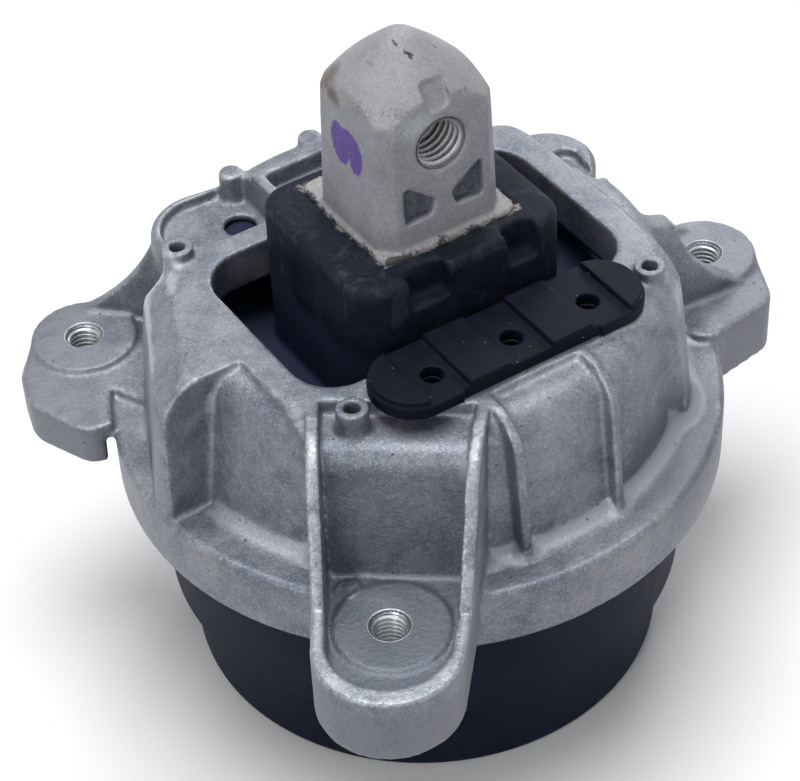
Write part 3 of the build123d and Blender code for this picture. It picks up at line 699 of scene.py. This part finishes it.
def can_finish():
    """Black moulded can, nearly matte."""
    f = Finish("Can plastic", ior=1.48)
    f.shader.inputs["Specular IOR Level"].default_value = 0.06
    cloud = f.noise(18, 4, 0.6, 0.4)
    fine = f.noise(0.7, 3, 0.6)
    tone = f.mix(f.span(cloud, 0.35, 0.68), plain(14, 20, 35), plain(24, 31, 49))
    # Painted highlight: a light band along the edge of the can's step
    rubbed = f.times(f.span(f.z, 23.9, 23.3), f.span(f.z, 22.4, 23.2))
    tone = f.over(tone, rubbed, 0.5, plain(48, 54, 70))
    streak = f.noise(5, 3, 0.6, stretch=(1.0, 1.0, 0.16), seed=3)
    tone = f.over(tone, f.span(streak, 0.6, 0.8), 0.3, plain(30, 36, 52))
    f.colour(tone)
    f.roughness(f.mix_value(f.span(cloud, 0.3, 0.7), 0.46, 0.58))
    f.bump((f.noise(2.2, 2, seed=5), 0.03), (fine, 0.015))
    return f.material


def hidden_finish(name, low, high, metallic, rough):
    """Plain finish with fine grain for a piece inside the mount."""
    f = Finish(name, metallic=metallic)
    grain = f.noise(1.2, 3, 0.6)
    f.colour(f.mix(f.span(grain, 0.3, 0.7), low, high))
    f.roughness(f.mix_value(grain, rough, rough + 0.1))
    f.bump((grain, 0.03))
    return f.material


# ---------------------------------------------------------------- pieces


def off_line(point, x, y):
    """Each point's distance from the upright line through x, y."""
    return np.hypot(point[:, 0] - x, point[:, 1] - y)


def tub_place(point):
    """Each point's distance out along the front foot, and sideways from its middle."""
    c, s = cos(radians(TUB_ANGLE)), sin(radians(TUB_ANGLE))
    return point[:, 0] * c + point[:, 1] * s, np.abs(point[:, 1] * c - point[:, 0] * s)


def tub_band(point):
    """Points of the front foot's ribs and end wall, seen from above."""
    out, side = tub_place(point)
    half = 15.9 + TUB_TAPER * (TUB_END_MM - out)
    ribs = (out > 52.0) & (out <= TUB_END_MM) & (side > half - 3.3)
    end = (out > 86.0) & (np.hypot(out - TUB_END_MM, side) > 11.0)
    end &= np.hypot(out - 88.0, side) > 13.0
    return (ribs | end) & (point[:, 2] > 74.5)


def near_line(point, start, end, reach):
    """Share that falls from 1 on a line to 0 at reach, in mm."""
    start, end = np.array(start), np.array(end)
    along = end - start
    t = np.clip((point - start) @ along / (along @ along), 0, 1)
    far = np.linalg.norm(point - (start + t[:, None] * along), axis=1)
    return np.clip(1.6 * (1 - far / reach), 0, 1)


def housing_share(point):
    """How much of the smoothing each point of the housing takes: less at its cut faces and small bosses."""
    share = np.full(len(point), 0.8)
    share = np.where(tub_band(point), 0.3, share)
    disc_edge = (point[:, 2] > 72.4) & (point[:, 2] < 74)
    for angle in FOOT_ANGLES:
        far = off_line(point, *polar(FOOT_CIRCLE_MM, angle))
        share = np.where(far < 5.6, 0.1, share)
        share = np.where((far > 11.5) & (far < 13.6) & disc_edge, 0.5, share)
    for angle in BOSS_ANGLES:
        far = off_line(point, *polar(BOSS_CIRCLE_MM, angle))
        share = np.where((far < 4.4) & (point[:, 2] > 106.5), 0.14, share)
    for spot, reach in ((VENT_MM, 5.0), (PIN_MARK_MM[:2], 4.5), *((hole, 3.2) for hole in PAD_HOLES_MM)):
        share = np.where(off_line(point, *spot) < reach, 0.2, share)
    return np.where(point[:, 2] < 59.5, 0.35, share)


def housing_rounds(point):
    """The large rounds: the left buttress's brow and edge, the right wall's corner, and the wall feet."""
    share = near_line(point, (-49.0, 29.5, 103.0), (-57.3, 21.5, 97.0), 8.0)
    for start, end, reach in (
        ((-52.0, 27.5, 100.5), (-58.5, 22.5, 76.0), 7.5), ((-57.5, 13.0, 99.0), (-60.0, -4.0, 99.0), 6.0),
        ((-55.0, 29.5, 103.0), (-48.0, 26.0, 106.0), 6.0),
        ((45.2, -39.5, 98.0), (46.5, -43.8, 71.5), 6.5), ((44.0, -38.0, 104.0), (45.2, -39.5, 98.0), 5.0),
        ((36.5, -46.6, 71.5), (43.5, -45.8, 71.5), 5.0), ((46.5, -43.8, 70.5), (62.0, -14.0, 70.5), 4.0),
        ((-52.6, -35.0, 73.2), (-22.0, -58.3, 73.2), 3.2),
    ):
        share = np.maximum(share, near_line(point, start, end, reach))
    foot = np.abs(off_line(point, 0, 0) - 60.5) < 3.5
    foot &= (point[:, 2] > 69.0) & (point[:, 2] < 72.8) & (point[:, 1] < -8.0)
    return np.maximum(share, np.where(foot, 0.7, 0.0))


def housing_wear_and_shade(point, normal):
    """1 on the rubbed top of the front foot's rim and ribs; painted shade of -1 on its floor and -0.45 on
    its walls.
    """
    out, side = tub_place(point)
    half = 12.6 + TUB_TAPER * (TUB_END_MM - out)
    round_end = (out < 88.0) | (np.hypot(out - 88.0, side) < 15.0)
    tub = (out > 50) & (side < half) & round_end
    floor = tub & (out < 103) & (point[:, 2] < 74.2) & (point[:, 2] > 66) & (normal[:, 2] > 0.3)
    wall = tub & (out < 76) & (point[:, 2] >= 74.2) & (point[:, 2] < 97)
    shade = np.where(floor, -1.0, np.where(wall, -0.45, 0.0))
    return np.where(tub_band(point) & (normal[:, 2] > 0.22), 1.0, shade)


def core_share(point):
    """The post's smoothing: full on the dome, less on the stem's edges, the pockets and the bore's mouth."""
    share = 0.3 + 0.7 * np.clip((point[:, 2] - 150.0) / 8.0, 0, 1)
    notch = (np.abs(point[:, 0]) < 4.6) & (point[:, 1] < -7) & (point[:, 2] > 150) & (point[:, 2] < 162)
    share = np.where(notch, 0.12, share)
    pocket = (np.abs(point[:, 0]) < 11.5) & (point[:, 1] < -8) & (point[:, 2] > 126) & (point[:, 2] < 140)
    share = np.where(pocket, 0.18, share)
    far = np.hypot(point[:, 0], point[:, 2] - BORE_HEIGHT_MM)
    return np.where((far < 8.0) & (point[:, 1] < 0), 0.1, share)


def even_share(point):
    return np.ones(len(point))


def make_housing(cast, cut, tree):
    piece = cast_skin(
        node_copy("housing", "housing_casting"), cell=0.5 * MM, passes=12, soften=housing_share,
        triangles=196000, rounds=((housing_rounds, 140),), paint=housing_wear_and_shade,
    )
    piece.data.materials.append(cast)
    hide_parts("housing")
    pieces = [piece]
    pitch, rows_per_turn = 1.25 * MM, 10
    for label, angle, base in zip(("front", "left", "right"), FOOT_ANGLES, FOOT_BASES):
        place = Matrix.Translation((*polar(FOOT_CIRCLE_MM * MM, angle), FOOT_TOP + 0.04 * MM))
        sizes = {
            "Root radius": 4.02 * MM, "Depth": 0.72 * MM, "Pitch": pitch,
            "Length": FOOT_TOP - base - 0.3 * MM, "Mouth": 0.6 * MM, "Around": 64,
            "Along": int((FOOT_TOP - base) / pitch * rows_per_turn),
        }
        sleeve = threaded_sleeve(f"{label}_foot_thread", tree, place, cut, sizes, 0.75 * MM)
        pieces.append(sleeve)
    return pieces


def make_core(blasted, cut, tree):
    piece = cast_skin(
        node_copy("core_post", "post_casting"), cell=0.4 * MM, passes=16, soften=core_share,
        triangles=150000,
    )
    piece.data.materials.append(blasted)
    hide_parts("core_post")
    mouth = Matrix.Translation((0, BORE_FACE + 0.4 * MM, BORE_HEIGHT_MM * MM))
    place = mouth @ Matrix.Rotation(radians(90), 4, "X")
    sizes = {
        "Root radius": 6.03 * MM, "Depth": 0.98 * MM, "Pitch": 1.75 * MM, "Length": 21.4 * MM,
        "Mouth": -0.3 * MM, "Around": 80, "Along": 130,
    }
    sleeve = threaded_sleeve("post_thread", tree, place, cut, sizes, 0.3 * MM)
    return [piece, sleeve]


def make_rubber(spring, pad):
    block = cast_skin(
        node_copy("main_spring", "spring_moulding"), cell=0.5 * MM, passes=6, soften=even_share,
        triangles=150000,
    )
    block.data.materials.append(spring)
    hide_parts("main_spring")
    stop = cast_skin(
        node_copy("stop_pad", "pad_moulding"), cell=0.25 * MM, passes=4, soften=even_share,
        triangles=80000,
    )
    stop.data.materials.append(pad)
    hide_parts("stop_pad")
    return [block, stop]


def make_can(finish):
    profile_mm = (
        (0, 0, 0), (56.5, 0, 1.6), (57.8, 22.5, 0.5), (61.4, 23.5, 0.5), (61.4, 57.5, 0), (65.6, 57.5, 0),
        (65.6, 59.0, 0), (59.0, 59.0, 0), (59.0, 25.9, 0), (55.4, 24.9, 0), (54.1, 2.4, 0), (0, 2.4, 0),
    )
    profile = rounded([(radius * MM, height * MM, corner * MM) for radius, height, corner in profile_mm])
    can = lathe("can_moulding", profile, 192)
    can.data.materials.append(finish)
    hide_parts("base_can")
    return [can]


def set_finish(node, finish):
    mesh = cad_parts[node].data
    mesh.materials.clear()
    mesh.materials.append(finish)


# ---------------------------------------------------------------- studio


def set_camera():
    """Camera at the photograph's place, solved from the photo; right, up and back are its own axes."""
    lens = bpy.data.cameras.new("Camera")
    lens.sensor_width = 36.0
    lens.lens = 112.5
    lens.clip_start = 0.01
    lens.clip_end = 20.0
    camera = bpy.data.objects.new("Camera", lens)
    bpy.context.scene.collection.objects.link(camera)
    right = Vector((0.83463608, -0.54955806, -0.03699388))
    up = Vector((0.3916436, 0.54489578, 0.74142017))
    back = Vector((-0.38729563, -0.63330444, 0.67002058))
    place = Matrix.Translation((-0.22798395, -0.36485059, 0.45526937))
    camera.matrix_world = place @ Matrix((right, up, back)).transposed().to_4x4()
    bpy.context.scene.camera = camera


def soft_lamp(name, place, target, size, power):
    """Round lamp at place, of size across, that faces target."""
    data = bpy.data.lights.new(name, "AREA")
    data.shape = "DISK"
    data.size = size
    data.energy = power
    lamp = bpy.data.objects.new(name, data)
    bpy.context.scene.collection.objects.link(lamp)
    lamp.location = place
    lamp.rotation_euler = (Vector(target) - Vector(place)).to_track_quat("-Z", "Y").to_euler()


def background_rays(sheet):
    """1 for the rays that show the background: seen straight, mirrored or through glass."""
    path = sheet.node("ShaderNodeLightPath")
    seen = sheet.calc("MAXIMUM", path.outputs["Is Camera Ray"], path.outputs["Is Glossy Ray"])
    return sheet.calc("MAXIMUM", seen, path.outputs["Is Transmission Ray"])


def make_world():
    """Dim sky for the light on the part, and white for the rays that show the background."""
    world = bpy.data.worlds.new("Studio")
    bpy.context.scene.world = world
    world.use_nodes = True
    world.node_tree.nodes.clear()
    sheet = NodeSheet(world.node_tree)
    sky = sheet.node("ShaderNodeBackground")
    sky.inputs["Strength"].default_value = 0.34
    sky.inputs["Color"].default_value = (0.96, 0.98, 1.0, 1)
    white = sheet.node("ShaderNodeBackground")
    white.inputs["Color"].default_value = (1, 1, 1, 1)
    out = sheet.node("ShaderNodeOutputWorld")
    mixed = sheet.mix_shader(background_rays(sheet), sky.outputs[0], white.outputs[0])
    sheet.link(mixed, out.inputs["Surface"])


def make_floor():
    """Paper just below the part, white far out for the rays that show the background."""
    reach, drop = 3.0, 0.2 * MM
    sheet = bpy.data.meshes.new("Floor")
    corners = ((-reach, -reach), (reach, -reach), (reach, reach), (-reach, reach))
    sheet.from_pydata([(x, y, -drop) for x, y in corners], [], [(0, 1, 2, 3)])
    floor = add_piece("Floor", sheet)
    paper = Finish("Floor paper")
    paper.colour(paper.mix(paper.noise(120, 2), (0.9, 0.9, 0.9), (0.92, 0.92, 0.92)))
    paper.roughness(0.9)
    glow = paper.node("ShaderNodeEmission")
    glow.inputs["Color"].default_value = (1, 1, 1, 1)
    far = paper.span(paper.distance((0, 0, 0)), 250.0, 700.0)
    share = paper.times(far, background_rays(paper))
    paper.link(paper.mix_shader(share, paper.shader.outputs[0], glow.outputs[0]), paper.surface)
    sheet.materials.append(paper.material)


# ---------------------------------------------------------------- scene


bpy.context.scene.view_settings.view_transform = "Standard"
set_camera()
make_world()
make_floor()
soft_lamp("Overhead", (0.0, 0.1, 1.1), (0, 0, 0.08), 0.8, 9.5)
soft_lamp("Left front", (-1.0, -0.5, 0.7), (0, 0, 0.09), 0.5, 4.0)
soft_lamp("Right back", (0.8, 0.7, 0.6), (0, 0, 0.09), 0.4, 3.0)

cast = die_cast_finish()
blasted = core_finish()
foot_cut = thread_finish("Cut foot threads", plain(150, 154, 158), plain(196, 199, 202), 0.85, 0.28)
post_cut = thread_finish(
    "Cut post thread", plain(150, 153, 157), plain(212, 214, 216), 0.6, 0.38,
    axis=((0.0, 0.0, BORE_HEIGHT_MM), (1, 1000, 1)), groove=(5.3, 5.85),
)
thread = thread_tree()
pieces = make_housing(cast, foot_cut, thread)
pieces += make_core(blasted, post_cut, thread)
pieces += make_rubber(spring_finish(), pad_finish())
pieces += make_can(can_finish())
for piece in pieces:
    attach(piece, "root")

inner_rubber = hidden_finish("Inner rubber", plain(28, 28, 30), plain(40, 40, 43), 0.0, 0.6)
inner_steel = hidden_finish("Plain steel", plain(150, 150, 152), plain(176, 176, 178), 0.9, 0.35)
inner_plate = hidden_finish("Machined plate", plain(165, 166, 170), plain(190, 191, 194), 0.8, 0.3)
for finish, nodes in (
    (inner_rubber, ("bellows", "can_seal", "decoupler_membrane", "main_spring", "stop_pad", "base_can")),
    (inner_steel, ("spring_ring", "bellows_ring")),
    (inner_plate, ("upper_channel_plate", "lower_channel_plate")),
    (cast, ("housing",)),
    (blasted, ("core_post",)),
):
    for node in nodes:
        set_finish(node, finish)
